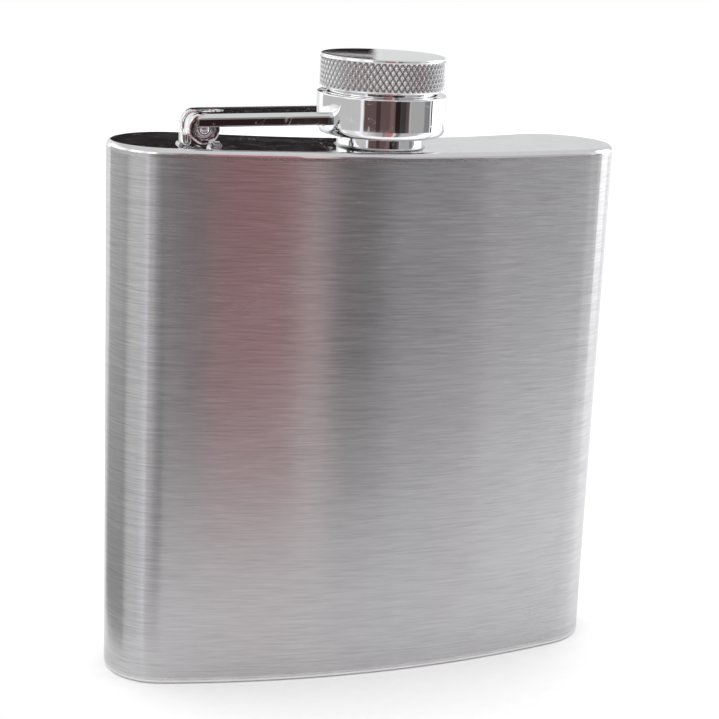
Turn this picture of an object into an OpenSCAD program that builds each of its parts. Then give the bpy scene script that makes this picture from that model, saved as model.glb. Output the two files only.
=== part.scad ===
// Hip flask with a captive screw cap on a hinged arm.
// The front face looks along -Y, the hinge is on the -X side and the flask stands on z = 0.
// The origin is under the neck, on the standing face.

/* [Body] */
// Width of the body, side to side
body_w = 93; // [80:0.5:120]
// Height of the body, from the standing face to the top plate
body_h = 95.9; // [70:0.1:140]
// Thickness of the body on its centre line
body_t = 19; // [18.8:0.1:25]
// Radius of the bowed front face
front_r = 165; // [137:1:220]
// Radius of the hollow back face
back_r = 86; // [71:1:120]
// Thickness of the steel sheet
sheet = 0.5; // [0.4:0.05:0.6]
// Outside radius of the rolled edge of the top plate
top_edge_r = 1.0; // [0.8:0.05:1.5]
// Outside radius of the rolled edge of the base plate
base_edge_r = 0.7; // [0.65:0.05:1.5]
// Width of each polished weld line
weld_w = 0.5; // [0.4:0.05:0.8]
// How far a weld stands proud inside the body
weld_proud = 0.15; // [0.1:0.05:0.3]
// Place of the side seam round the right-hand end, in degrees towards the back
seam_angle = 35; // [0:5:80]

/* [Neck] */
// Outside radius of the plain foot of the neck
neck_r = 7.6; // [7:0.1:7.7]
// Radius of the neck's bore
neck_bore_r = 5.9; // [4.8:0.1:6]
// Height of the plain foot above the top plate
foot_h = 2.9; // [2.4:0.1:3.5]
// Height of the neck above the top plate
neck_h = 7.4; // [6.9:0.1:8.9]
// Pitch of the screw thread
pitch = 1.5; // [1.2:0.05:1.8]
// Height of the thread ridges
ridge_h = 0.45; // [0.35:0.05:0.55]
// How far the neck's flange reaches out under the top plate
neck_flange_w = 0.7; // [0.5:0.05:0.75]
// Thickness of the neck's flange
neck_flange_t = 0.6; // [0.4:0.05:0.8]
// How far the thread's crests lie in from the plain foot's surface
crest_inset = 0.15; // [0.1:0.05:0.25]
// Rounding of the neck's edges
neck_bevel = 0.2; // [0.1:0.05:0.3]
// Size of the weld fillet round the foot of the neck
neck_fillet = 0.4; // [0.2:0.05:0.6]

/* [Collar] */
// Space between the top plate and the collar
collar_gap = 2.1; // [1.8:0.1:2.5]
// Height of the collar
collar_h = 7.1; // [6.9:0.1:8.5]
// Wall of the collar
collar_wall = 0.8; // [0.5:0.05:0.95]
// Thickness of the collar's floor and of its top lip
collar_floor = 0.6; // [0.4:0.05:0.7]
// Outside radius of the collar's rounded bottom edge
collar_bottom_r = 1.6; // [1.1:0.1:2]
// Outside radius of the collar's softened top edge
collar_top_r = 0.25; // [0.1:0.05:0.4]
// Space between the retaining ring and the inside of the collar
ring_gap = 0.5; // [0.3:0.05:0.6]

/* [Cap] */
// Height of the cap's knurled head
head_h = 5.9; // [4.6:0.1:7]
// How much smaller than the collar the head is, all round
head_inset = 0.4; // [0:0.05:0.6]
// Gap between the collar and the head
head_gap = 0.7; // [0.5:0.1:2]
// Wall of the head's steel cup
cup_wall = 0.8; // [0.6:0.05:0.9]
// Width of the plain rim above the knurl
rim_h = 0.7; // [0.4:0.05:0.9]
// Width of the plain rim below the knurl
low_rim_h = 0.4; // [0.35:0.05:0.8]
// Bevel of the head's edges
head_bevel = 0.25; // [0.1:0.05:0.3]
// Number of knurl diamonds round the head
knurl_count = 64; // [40:2:80]
// Number of knurl diamonds from the bottom of the band to its top
knurl_rows = 3; // [1:1:4]
// Depth of the knurl
knurl_depth = 0.35; // [0.2:0.05:0.45]
// Wall of the cap's skirt, outside the screw thread
skirt_wall = 1.55; // [1.3:0.05:2]
// Wall of the steel sleeve, which is the outer part of the skirt
sleeve_wall = 0.35; // [0.3:0.05:0.45]
// Thickness of the gasket
gasket_t = 1.2; // [0.8:0.1:1.6]
// Thickness of the retaining ring
ring_t = 0.5; // [0.4:0.05:0.6]
// How far the retaining ring stands out of the skirt
ring_out = 0.75; // [0.6:0.05:1]
// Thickness of the slip washer
washer_t = 0.3; // [0.2:0.05:0.35]

/* [Hinge and arm] */
// Distance from the neck's axis to the hinge pin
hinge_x = 32; // [27:0.5:36]
// Radius of the hinge pin
pin_r = 1.65; // [1.4:0.05:2]
// Radius of the pin's stepped ends
pin_end_r = 1.2; // [1:0.05:1.3]
// Length of each stepped end
pin_end_l = 0.7; // [0.4:0.1:1.2]
// Radius of the hollow in each end of the pin
pin_hollow_r = 0.65; // [0.4:0.05:0.75]
// Depth of the hollow in each end of the pin
pin_hollow_h = 0.9; // [0.5:0.1:1.5]
// How far each end of the pin lies inside the outer side of its knuckle
pin_sunk = 0.1; // [0.05:0.05:0.3]
// Thickness of the arm's sheet
arm_sheet = 0.85; // [0.7:0.05:1]
// Width of the arm
arm_w = 10.2; // [8.5:0.1:12.5]
// Depth of the arm's side flanges
flange_h = 2.1; // [1.6:0.05:2.3]
// How far the side flanges reach back past the hinge pin, beside the knuckles
flange_back = 1.2; // [0.4:0.1:1.6]
// Length of the slot beyond the lug's toe, which passes through it as the arm opens
slot_spare = 1; // [0.9:0.1:2]
// How much of a full turn each knuckle is rolled through, in degrees
knuckle_roll = 300; // [270:5:320]
// Rise of the arm from the hinge to the collar, in degrees
arm_slope = 1.4; // [0:0.1:2]
// Width of the lug's strap
lug_w = 3.4; // [2.8:0.1:4]
// Width of the lug's upturned toe
toe_w = 3.2; // [2:0.1:3.4]
// Thickness of the lug's strap
lug_sheet = 0.75; // [0.6:0.05:0.9]
// Length of each foot of the lug
lug_foot = 0.8; // [0.7:0.1:1.3]
// Height of the lug's upturned toe
toe_h = 1.9; // [1.6:0.1:2.4]
// Space between the arm's knuckles and the top plate
knuckle_gap = 0.6; // [0.3:0.05:0.9]
// Size of the weld beads at the lug and inside the arm
bead = 0.5; // [0.3:0.05:0.6]

/* [Clearances] */
// Radial running clearance of the arm on the hinge pin
pin_play = 0.06; // [0.03:0.01:0.1]
// Clearance between the thread ridges and the wall that they run along
thread_play = 0.2; // [0.15:0.05:0.25]
// Clearance between other moving pieces
play = 0.3; // [0.25:0.05:0.35]
// Clearance between flat faces that rest against each other
face_play = 0.05; // [0.02:0.01:0.1]
// Clearance between the collar and the neck
collar_play = 0.6; // [0.45:0.05:0.8]

/* [Hidden] */

steel = [0.72, 0.72, 0.74];
bright_steel = [0.85, 0.85, 0.87];
weld_steel = [0.62, 0.62, 0.64];
dark_plastic = [0.12, 0.12, 0.13];
rubber = [0.25, 0.24, 0.23];

// The plan is four arcs: front, back and one round end on each side that is tangent to both.
front_y = front_r - body_t / 2;
back_y = back_r + body_t / 2;
ratio = (back_r + front_r) / (back_y - front_y);
offset_y = (pow(back_y, 2) - pow(front_y, 2) - pow(back_r, 2) + pow(front_r, 2))
    / (2 * (back_y - front_y)) - front_y;
half_b = (2 * offset_y * ratio + body_w - 2 * front_r) / 2;
end_c = pow(offset_y, 2) - pow(front_r, 2) + pow(body_w / 2, 2);
end_r = (half_b - sqrt(pow(half_b, 2) - pow(ratio, 2) * end_c)) / pow(ratio, 2);
end_x = body_w / 2 - end_r;
end_y = offset_y - ratio * end_r + front_y;
front_end = atan2(end_y - front_y, end_x);
back_end = atan2(end_y - back_y, end_x);
front_half = 90 + front_end;
back_half = 90 + back_end;

// Points along each quarter of a round end, along the front or back, and over the rolled edge
end_steps = 12;
middle_steps = 20;
roll_steps = 5;

// Heights above the standing face
shell_low = base_edge_r + weld_w;
shell_high = body_h - top_edge_r - weld_w;
foot_z = body_h + foot_h;
neck_z = body_h + neck_h;
collar_z = body_h + collar_gap;
collar_top_z = collar_z + collar_h;
head_z = collar_top_z + head_gap;
head_top_z = head_z + head_h;
skirt_z = collar_z + collar_floor + play;
gasket_z = neck_z + face_play;
washer_z = skirt_z + ring_t + face_play;

// Radii of the screw and of what runs round it
male_crest_r = neck_r - crest_inset;
male_root_r = male_crest_r - ridge_h;
female_root_r = male_crest_r + thread_play;
female_crest_r = male_root_r + thread_play;
ridge_sink = 0.3;
skirt_r = female_root_r + skirt_wall;
ring_r = skirt_r + ring_out;
insert_r = skirt_r - sleeve_wall;
lip_r = skirt_r + play;
collar_in_r = ring_r + ring_gap;
collar_r = collar_in_r + collar_wall;
collar_hole_r = male_crest_r + collar_play;
head_r = collar_r - head_inset;
groove_r = head_r - knurl_depth;
core_r = groove_r - 0.2;
cup_in_r = groove_r - cup_wall;
rim_r = head_r - 0.1;
knurl_low = head_z + low_rim_h;
knurl_high = head_top_z - rim_h;

// The male thread starts above the plain foot. The female one runs midway between its turns.
ridge_root_w = pitch * 0.55;
ridge_crest_w = pitch * 0.2;
ridge_end_gap = 0.05;
male_z = foot_z + ridge_root_w / 2 + ridge_end_gap;
male_turns = (neck_z - male_z - ridge_root_w / 2 - 2 * ridge_end_gap) / pitch;
female_z = male_z + pitch / 2;
female_turns = (neck_z - female_z - ridge_root_w / 2 - ridge_end_gap) / pitch;

// The hinge pin lies just high enough for the arm's knuckles to turn clear of the top plate.
knuckle_r = pin_r + pin_play + arm_sheet;
pin_z = body_h + knuckle_r + knuckle_gap;
web_half = arm_w / 2 - arm_sheet;
knuckle_side = web_half - face_play;
pin_reach = knuckle_side - pin_sunk;
lug_r = pin_r + lug_sheet;
slot_w = lug_w + 2 * play;
toe_x = lug_r + lug_foot;
slot_l = toe_x + slot_spare;

$fn = 96;

// The outline of the body at a given depth inside its outer face
module plan(inset) {
    difference() {
        intersection() {
            translate([0, front_y]) circle(r = front_r - inset, $fn = 720);
            translate([-body_w / 2 - end_r, -body_t])
                square([body_w + 2 * end_r, body_t + end_y + 2 * end_r]);
        }
        translate([0, back_y]) circle(r = back_r + inset, $fn = 720);
        for (side = [0, 1]) mirror([side, 0]) difference() {
            end_wedge();
            translate([end_x, end_y]) circle(r = end_r - inset);
        }
    }
}

// The sector outside which the front and back arcs end and the round end begins
module end_wedge() {
    reach = 3 * end_r;
    translate([end_x, end_y]) polygon([
        [0, 0],
        reach * [cos(front_end), sin(front_end)],
        [reach, -reach],
        [reach, reach],
        -reach * [cos(back_end), sin(back_end)]
    ]);
}

// Points of the outline at a given inset, from the right-hand tip to the left-hand one.
// They run along the front when turn is -1 and along the back when it is 1.
function outline(inset, turn) = let (
    sweep = turn < 0 ? front_end : back_end + 180,
    middle_r = turn < 0 ? front_r - inset : back_r + inset,
    middle_y = turn < 0 ? front_y : back_y,
    half = turn < 0 ? front_half : back_half,
    right = [for (i = [0:end_steps - 1]) let (angle = sweep * i / end_steps)
        [end_x, end_y] + (end_r - inset) * [cos(angle), sin(angle)]],
    middle = [for (i = [0:middle_steps]) let (angle = -90 + half * (1 - 2 * i / middle_steps))
        [0, middle_y] + middle_r * [cos(angle), sin(angle)]]
) concat(right, middle, [for (i = [end_steps - 1:-1:0]) [-right[i].x, right[i].y]]);

// An end plate with its edge rolled down, drawn with its flat face at z = 0
module end_plate(edge_r) {
    steps = len(outline(0, 1));
    loop = 2 * steps - 2;
    function ring(inset, z) = let (front = outline(inset, -1), back = outline(inset, 1))
        [for (p = front) [p.x, p.y, z], for (i = [steps - 2:-1:1]) [back[i].x, back[i].y, z]];
    function rolled(r) = [for (k = [0:roll_steps]) let (angle = 90 * k / roll_steps)
        each ring(edge_r - r * cos(angle), r * sin(angle) - edge_r)];
    function skirt(first, flip) = [for (k = [0:roll_steps - 1], i = [0:loop - 1]) let (
        a = first + k * loop + i,
        b = first + k * loop + (i + 1) % loop)
        each (flip ? [[a, b, b + loop], [a, b + loop, a + loop]]
            : [[a, b + loop, b], [a, a + loop, b + loop]])];
    function flat(first, flip) = [for (i = [0:steps - 2]) let (
        a = first + i,
        b = first + i + 1,
        c = first + (loop - i - 1) % loop,
        d = first + (loop - i) % loop)
        each (flip ? [if (b != c) [a, c, b], if (a != d) [a, d, c]]
            : [if (b != c) [a, b, c], if (a != d) [a, c, d]])];
    inner = (roll_steps + 1) * loop;
    edge = [for (i = [0:loop - 1]) let (a = i, b = (i + 1) % loop)
        each [[a, b, b + inner], [a, b + inner, a + inner]]];
    polyhedron(
        concat(rolled(edge_r), rolled(edge_r - sheet)),
        concat(skirt(0, false), flat(inner - loop, true), skirt(inner, true),
            flat(2 * inner - loop, false), edge));
}

// The narrow strip of the right-hand end that the side seam takes up
module seam_strip() {
    half = weld_w / end_r * 90 / PI;
    translate([end_x, end_y]) rotate(seam_angle) polygon([
        [0, 0],
        2 * end_r * [cos(half), -sin(half)],
        2 * end_r * [cos(half), sin(half)]
    ]);
}

module weld_band(height) {
    translate([0, 0, height]) linear_extrude(weld_w) difference() {
        plan(0);
        plan(sheet + weld_proud);
    }
}

// A helical ridge. Its foot lies at foot_r and its crest at crest_r, and it fades out at both ends.
module ridge(foot_r, crest_r, start_z, turns) {
    steps_per_turn = 36;
    steps = round(turns * steps_per_turn);
    fade = steps_per_turn / 6;
    blunt_end = 0.12;
    function height(i) = max(blunt_end, min(1, i / fade, (steps - i) / fade));
    function section(i) = let (
        angle = i * 360 / steps_per_turn,
        z = start_z + i * pitch / steps_per_turn,
        tip_r = foot_r + (crest_r - foot_r) * height(i),
        tip_w = ridge_root_w + (ridge_crest_w - ridge_root_w) * height(i)
    ) [for (p = [[foot_r, -ridge_root_w / 2], [tip_r, -tip_w / 2], [tip_r, tip_w / 2],
        [foot_r, ridge_root_w / 2]]) [p.x * cos(angle), p.x * sin(angle), z + p.y]];
    points = [for (i = [0:steps]) each section(i)];
    sides = [for (i = [0:steps - 1], k = [0:3]) let (a = 4 * i + k, b = 4 * i + (k + 1) % 4)
        each [[a, b, b + 4], [a, b + 4, a + 4]]];
    last = 4 * steps;
    ends = [[3, 2, 1, 0], [last, last + 1, last + 2, last + 3]];
    outward = crest_r > foot_r;
    faces = concat(sides, ends);
    polyhedron(points, outward ? faces : [for (f = faces) [for (i = [len(f) - 1:-1:0]) f[i]]]);
}

// The knurl: a ring of low pyramids between two sets of crossing grooves, let into both rims
module knurl_band() {
    sink = 0.05;
    half_steps = 2 * knurl_count;
    rows = 2 * knurl_rows;
    row_h = (knurl_high - knurl_low + 2 * sink) / rows;
    inner_r = core_r - cup_wall / 4;
    function at(r, i, z) = [r * cos(180 * i / knurl_count), r * sin(180 * i / knurl_count), z];
    function radius(i, row) = (i + row) % 2 == 0 ? head_r : groove_r;
    skin = [for (row = [0:rows], i = [0:half_steps - 1])
        at(row == 0 || row == rows ? groove_r : radius(i, row), i, knurl_low - sink + row * row_h)];
    inner = [for (row = [0, 1], i = [0:half_steps - 1])
        at(inner_r, i, row == 0 ? knurl_low - sink : knurl_high + sink)];
    base = len(skin);
    function next(i) = (i + 1) % half_steps;
    // Each cell is split along its groove, so that every crest is the tip of a pyramid.
    skin_faces = [for (row = [0:rows - 1], i = [0:half_steps - 1]) let (
        a = row * half_steps + i,
        b = row * half_steps + next(i),
        c = b + half_steps,
        d = a + half_steps)
        each ((i + row) % 2 == 0 ? [[b, a, d], [b, d, c]] : [[b, a, c], [a, d, c]])];
    inner_faces = [for (i = [0:half_steps - 1]) let (
        a = base + i, b = base + next(i))
        each [[a, b, b + half_steps], [a, b + half_steps, a + half_steps]]];
    low_faces = [for (i = [0:half_steps - 1]) each [[base + i, i, next(i)],
        [base + i, next(i), base + next(i)]]];
    top = rows * half_steps;
    high_faces = [for (i = [0:half_steps - 1]) each [
        [top + i, base + half_steps + i, base + half_steps + next(i)],
        [top + i, base + half_steps + next(i), top + next(i)]]];
    polyhedron(concat(skin, inner), concat(skin_faces, inner_faces, low_faces, high_faces));
}

// Puts what follows on the hinge pin, with x along the rising arm and y across it
module on_arm() {
    translate([-hinge_x, 0, pin_z]) rotate([0, -arm_slope, 0]) children();
}

// A solid of the given outline in x and z, centred across the arm
module across(width) {
    rotate([90, 0, 0]) linear_extrude(width, center = true) children();
}

module body_shell() {
    color(steel) translate([0, 0, shell_low]) linear_extrude(shell_high - shell_low)
        difference() {
            plan(0);
            plan(sheet);
            seam_strip();
        }
}

module side_seam() {
    color(weld_steel) translate([0, 0, shell_low]) linear_extrude(shell_high - shell_low)
        intersection() {
            seam_strip();
            translate([end_x, end_y]) difference() {
                circle(r = end_r);
                circle(r = end_r - sheet - weld_proud);
            }
        }
}

module top_plate() {
    color(bright_steel) difference() {
        translate([0, 0, body_h]) end_plate(top_edge_r);
        translate([0, 0, body_h - 2 * sheet]) cylinder(r = neck_r, h = 3 * sheet);
    }
}

module top_weld() {
    color(weld_steel) weld_band(shell_high);
}

module base_plate() {
    color(bright_steel) mirror([0, 0, 1]) end_plate(base_edge_r);
}

module base_weld() {
    color(weld_steel) weld_band(base_edge_r);
}

module neck() {
    flange_z = body_h - sheet - neck_flange_t;
    color(bright_steel) union() {
        rotate_extrude() polygon([
            [neck_bore_r, flange_z],
            [neck_r + neck_flange_w, flange_z],
            [neck_r + neck_flange_w, body_h - sheet],
            [neck_r, body_h - sheet],
            [neck_r, foot_z - neck_bevel],
            [neck_r - neck_bevel, foot_z],
            [male_root_r, foot_z],
            [male_root_r, neck_z - neck_bevel],
            [male_root_r - neck_bevel, neck_z],
            [neck_bore_r, neck_z]
        ]);
        ridge(male_root_r - ridge_sink, male_crest_r, male_z, male_turns);
    }
}

module neck_weld() {
    hollow = 0.35;
    color(weld_steel) rotate_extrude() translate([neck_r, body_h]) polygon([
        [0, 0],
        [neck_fillet, 0],
        neck_fillet * [hollow, hollow],
        [0, neck_fillet]
    ]);
}

module hinge_lug() {
    drop = pin_z - body_h;
    color(bright_steel) translate([-hinge_x, 0, pin_z]) {
        across(lug_w) difference() {
            union() {
                circle(r = lug_r);
                translate([-lug_r, -drop]) square([2 * lug_r, drop]);
                translate([0, -drop]) square([lug_r + lug_foot, lug_sheet]);
                translate([-toe_x, -drop]) square([toe_x, lug_sheet]);
            }
            circle(r = pin_r);
            translate([-pin_r, -drop - 1]) square([2 * pin_r, drop + 1]);
        }
        across(toe_w) translate([lug_sheet / 2 - toe_x, -drop]) {
            translate([-lug_sheet / 2, 0]) square([lug_sheet, toe_h - lug_sheet / 2]);
            translate([0, toe_h - lug_sheet / 2]) circle(d = lug_sheet);
        }
    }
}

// A weld bead along the end of one of the lug's feet, on the top plate
module lug_bead(x) {
    bead_l = lug_w - 2 * play;
    color(weld_steel) difference() {
        translate([x, 0, body_h]) across(bead_l) circle(r = bead);
        translate([x - 2 * bead, -lug_w, body_h - 2 * bead]) cube([4 * bead, 2 * lug_w, 2 * bead]);
        translate([-hinge_x - toe_x, -lug_w, body_h - 1])
            cube([toe_x + lug_r + lug_foot, 2 * lug_w, lug_sheet + toe_h]);
    }
}

module lug_weld_left() {
    lug_bead(-hinge_x - toe_x);
}

module lug_weld_right() {
    lug_bead(lug_r + lug_foot - hinge_x);
}

module hinge_pin() {
    body_l = 2 * (pin_reach - pin_end_l);
    color(bright_steel) translate([-hinge_x, 0, pin_z]) rotate([90, 0, 0]) difference() {
        union() {
            cylinder(r = pin_r, h = body_l, center = true);
            cylinder(r = pin_end_r, h = 2 * pin_reach, center = true);
        }
        for (side = [-1, 1]) translate([0, 0, side * pin_reach])
            cylinder(r = pin_hollow_r, h = 2 * pin_hollow_h, center = true);
    }
}

// The arm: a pressed channel whose slotted end is rolled into two knuckles
module arm() {
    tongue_w = knuckle_side - slot_w / 2;
    reach = 2 * flange_back;
    color(bright_steel) difference() {
        on_arm() {
            difference() {
                across(arm_w) polygon([
                    [-flange_back, knuckle_r - flange_h], [hinge_x, knuckle_r - flange_h],
                    [hinge_x, knuckle_r], [0, knuckle_r],
                    [-flange_back, sqrt(pow(knuckle_r, 2) - pow(flange_back, 2))]
                ]);
                translate([-reach, -web_half, -knuckle_r])
                    cube([hinge_x + 2 * reach, 2 * web_half, 2 * knuckle_r - arm_sheet]);
                translate([-reach, -slot_w / 2, 0])
                    cube([slot_l - slot_w / 2 + reach, slot_w, 2 * knuckle_r]);
                translate([slot_l - slot_w / 2, 0, 0]) cylinder(d = slot_w, h = 2 * knuckle_r);
            }
            for (side = [-1, 1]) translate([0, side * (slot_w + tongue_w) / 2, 0])
                rotate([90, 0, 0]) translate([0, 0, -tongue_w / 2]) rotate(90)
                    rotate_extrude(angle = knuckle_roll)
                        translate([knuckle_r - arm_sheet, 0]) square([arm_sheet, tongue_w]);
        }
        cylinder(r = collar_r, h = 2 * head_top_z);
    }
}

module collar() {
    corner_r = collar_bottom_r - collar_wall;
    lip_corner_r = 0.1;
    color(bright_steel) translate([0, 0, collar_z]) rotate_extrude() difference() {
        rounded_band(collar_r, 0, collar_h, collar_bottom_r, collar_top_r);
        rounded_band(collar_in_r, collar_floor, collar_h - collar_floor, corner_r, lip_corner_r);
        translate([-1, -1]) square([collar_hole_r + 1, collar_h / 2]);
        translate([-1, collar_h / 2]) square([lip_r + 1, collar_h]);
    }
}

// The half section of a round drum from low to high, with its bottom and top edges rounded
module rounded_band(outer_r, low, high, low_r, high_r) {
    translate([0, low + low_r]) square([outer_r, high - low - low_r - high_r]);
    translate([0, low]) square([outer_r - low_r, high - low - high_r]);
    translate([0, high - 2 * high_r]) square([outer_r - high_r, 2 * high_r]);
    translate([outer_r - low_r, low + low_r]) circle(r = low_r);
    translate([outer_r - high_r, high - high_r]) circle(r = high_r);
}

// The weld inside the channel, where the arm's web meets the collar
module arm_weld() {
    web_z = pin_z + knuckle_r - arm_sheet + (hinge_x - collar_r) * sin(arm_slope);
    color(weld_steel) intersection() {
        rotate_extrude() polygon([
            [collar_r, web_z - bead],
            [collar_r + bead, web_z],
            [collar_r + bead, web_z + bead],
            [collar_r, web_z + bead]
        ]);
        on_arm() translate([0, -web_half, -knuckle_r])
            cube([hinge_x, 2 * web_half, 2 * knuckle_r - arm_sheet]);
    }
}

module slip_washer() {
    color(bright_steel) translate([0, 0, washer_z]) difference() {
        cylinder(r = ring_r, h = washer_t);
        translate([0, 0, -1]) cylinder(r = skirt_r + play / 2, h = washer_t + 2);
    }
}

module cap_cup() {
    color(bright_steel) union() {
        rotate_extrude() polygon([
            [cup_in_r, head_z],
            [rim_r - head_bevel, head_z],
            [rim_r, head_z + head_bevel],
            [rim_r, knurl_low],
            [core_r, knurl_low],
            [core_r, knurl_high],
            [rim_r, knurl_high],
            [rim_r, head_top_z - head_bevel],
            [rim_r - head_bevel, head_top_z],
            [0, head_top_z],
            [0, head_top_z - cup_wall],
            [cup_in_r, head_top_z - cup_wall]
        ]);
        knurl_band();
    }
}

module cap_insert() {
    seat_z = gasket_z + gasket_t;
    color(dark_plastic) union() {
        rotate_extrude() polygon([
            [female_root_r, skirt_z],
            [insert_r, skirt_z],
            [insert_r, head_z + play],
            [cup_in_r, head_z + play],
            [cup_in_r, head_top_z - cup_wall],
            [0, head_top_z - cup_wall],
            [0, seat_z],
            [female_root_r, seat_z]
        ]);
        ridge(female_root_r + ridge_sink, female_crest_r, female_z, female_turns);
    }
}

module cap_sleeve() {
    color(bright_steel) translate([0, 0, skirt_z + ring_t]) difference() {
        cylinder(r = skirt_r, h = head_z + play - skirt_z - ring_t);
        translate([0, 0, -1]) cylinder(r = insert_r, h = head_z);
    }
}

module cap_gasket() {
    color(rubber) translate([0, 0, gasket_z]) cylinder(r = female_root_r, h = gasket_t);
}

module retaining_ring() {
    color(bright_steel) translate([0, 0, skirt_z]) difference() {
        cylinder(r = ring_r, h = ring_t);
        translate([0, 0, -1]) cylinder(r = insert_r, h = ring_t + 2);
    }
}

body_shell();
side_seam();
top_plate();
top_weld();
base_plate();
base_weld();
neck();
neck_weld();
hinge_lug();
lug_weld_left();
lug_weld_right();
hinge_pin();
arm();
collar();
arm_weld();
slip_washer();
cap_cup();
cap_insert();
cap_sleeve();
cap_gasket();
retaining_ring();
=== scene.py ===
# Hip flask: a brushed steel body between two polished end plates, with a screw cap that a hinged arm
# keeps on the flask. The front looks along -Y, the hinge is on the -X side and the flask stands on
# z = 0. Lengths are metres.

import math

import bmesh
import bpy
from mathutils import Matrix, Vector, noise


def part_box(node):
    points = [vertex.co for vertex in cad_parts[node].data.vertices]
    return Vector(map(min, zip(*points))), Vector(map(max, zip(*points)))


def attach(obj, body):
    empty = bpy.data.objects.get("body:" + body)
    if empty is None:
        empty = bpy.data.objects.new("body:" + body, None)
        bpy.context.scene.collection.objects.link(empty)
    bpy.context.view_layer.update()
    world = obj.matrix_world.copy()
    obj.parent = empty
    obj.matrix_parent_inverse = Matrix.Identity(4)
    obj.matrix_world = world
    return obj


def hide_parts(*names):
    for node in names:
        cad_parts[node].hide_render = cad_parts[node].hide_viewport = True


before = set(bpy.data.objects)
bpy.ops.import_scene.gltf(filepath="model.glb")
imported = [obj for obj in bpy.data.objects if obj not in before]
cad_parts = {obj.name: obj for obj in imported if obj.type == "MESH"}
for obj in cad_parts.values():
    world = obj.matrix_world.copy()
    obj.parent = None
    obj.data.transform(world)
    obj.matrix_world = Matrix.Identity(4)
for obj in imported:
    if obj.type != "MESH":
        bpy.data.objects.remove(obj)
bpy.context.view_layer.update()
mm = 0.001


# ---- Camera -------------------------------------------------------------------------------------
# It stands in front of the flask and to its left, a little above the cap, and leans slightly.
camera_data = bpy.data.cameras.new("camera")
camera_data.sensor_width = 36.0
camera_data.lens = 88.12
camera_data.shift_x = -0.1259
camera_data.shift_y = -0.0063
camera = bpy.data.objects.new("camera", camera_data)
camera_place = Vector((-96.4, -291.3, 138.9)) * mm
camera_turn, camera_tilt, camera_lean = -20.984, 14.650, 3.179
camera.matrix_world = (
    Matrix.Translation(camera_place)
    @ Matrix.Rotation(math.radians(camera_turn), 4, "Z")
    @ Matrix.Rotation(math.radians(90 - camera_tilt), 4, "X")
    @ Matrix.Rotation(math.radians(camera_lean), 4, "Z")
)
bpy.context.scene.collection.objects.link(camera)
bpy.context.scene.camera = camera


# ---- Body shell ---------------------------------------------------------------------------------
# One sheet of stainless steel, bent round and closed by a seam on the right-hand end. Its outside is
# brushed level all the way round, so it spreads what it mirrors up and down.
shell_low, shell_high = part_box("body_shell")
body_w = shell_high.x - shell_low.x
front_r = 165 * mm
back_r = 86 * mm
body_t = 19 * mm
sheet = 0.5 * mm
seam_angle = 35
seam_w = 0.5 * mm

# The plan is four arcs: front, back and one round end on each side that is tangent to both.
front_y = front_r - body_t / 2
back_y = back_r + body_t / 2
end_ratio = (back_r + front_r) / (back_y - front_y)
offset_y = (back_y**2 - front_y**2 - back_r**2 + front_r**2) / (2 * (back_y - front_y)) - front_y
half_b = (2 * offset_y * end_ratio + body_w - 2 * front_r) / 2
end_c = offset_y**2 - front_r**2 + (body_w / 2) ** 2
end_r = (half_b - math.sqrt(half_b**2 - end_ratio**2 * end_c)) / end_ratio**2
end_x = body_w / 2 - end_r
end_y = offset_y - end_ratio * end_r + front_y
front_end = math.degrees(math.atan2(end_y - front_y, end_x))
back_end = math.degrees(math.atan2(end_y - back_y, end_x))


def arc(x, y, radius, start, stop, steps, side=1):
    """Points and outward normals round part of a circle, without the last one. Angles are degrees."""
    row = []
    for i in range(steps):
        angle = math.radians(start + (stop - start) * i / steps)
        way = Vector((math.cos(angle), math.sin(angle)))
        row.append((Vector((x, y)) + radius * way, side * way))
    return row


def outline(inset, start_angle, stop_angle, fine=1):
    """The body's plan at a depth inside its outer face, from one place on the right-hand end round to
    another, with the outward normal at each point."""
    turn = 180 + back_end
    return (
        arc(end_x, end_y, end_r - inset, start_angle, turn, 16 * fine)
        + arc(0, back_y, back_r + inset, back_end, -180 - back_end, 50 * fine, -1)
        + arc(-end_x, end_y, end_r - inset, -back_end, 180 - front_end, 28 * fine)
        + arc(0, front_y, front_r - inset, -180 - front_end, front_end, 50 * fine)
        + arc(end_x, end_y, end_r - inset, front_end, stop_angle, 20 * fine)
        + arc(end_x, end_y, end_r - inset, stop_angle, stop_angle + 1, 1)
    )


def new_piece(name, points, faces):
    """A mesh object of the given points and faces."""
    mesh = bpy.data.meshes.new(name)
    mesh.from_pydata([tuple(p) for p in points], [], faces)
    mesh.update()
    piece = bpy.data.objects.new(name, mesh)
    bpy.context.scene.collection.objects.link(piece)
    return piece


def settle(piece, sharp=35):
    """Applies the piece's modifiers, then smooths it everywhere but at edges over the given angle."""
    bpy.context.view_layer.update()
    shaped = piece.evaluated_get(bpy.context.evaluated_depsgraph_get())
    mesh = bpy.data.meshes.new_from_object(shaped)
    mesh.name = piece.name
    piece.modifiers.clear()
    piece.data = mesh
    mesh.shade_smooth()
    mesh.set_sharp_from_angle(angle=math.radians(sharp))
    return piece


def place(piece, body, node, finish):
    """Puts a piece on its body in its node's stead and its material."""
    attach(piece, body)
    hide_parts(node)
    piece.data.materials.clear()
    piece.data.materials.append(finish)
    return piece


def quads(rows, columns, closed=False, start=0):
    """Faces of a grid of points that are stored row after row, facing outward when the columns run
    anticlockwise and the rows run up."""
    last = columns if closed else columns - 1
    faces = []
    for j in range(rows - 1):
        for i in range(last):
            a = start + j * columns + i
            b = start + j * columns + (i + 1) % columns
            faces.append((a, b, b + columns, a + columns))
    return faces


def add_sheet_wall(piece, thickness):
    """Gives an open surface the thickness of its sheet, inward."""
    wall = piece.modifiers.new("sheet", "SOLIDIFY")
    wall.thickness = thickness
    wall.offset = -1


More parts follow.
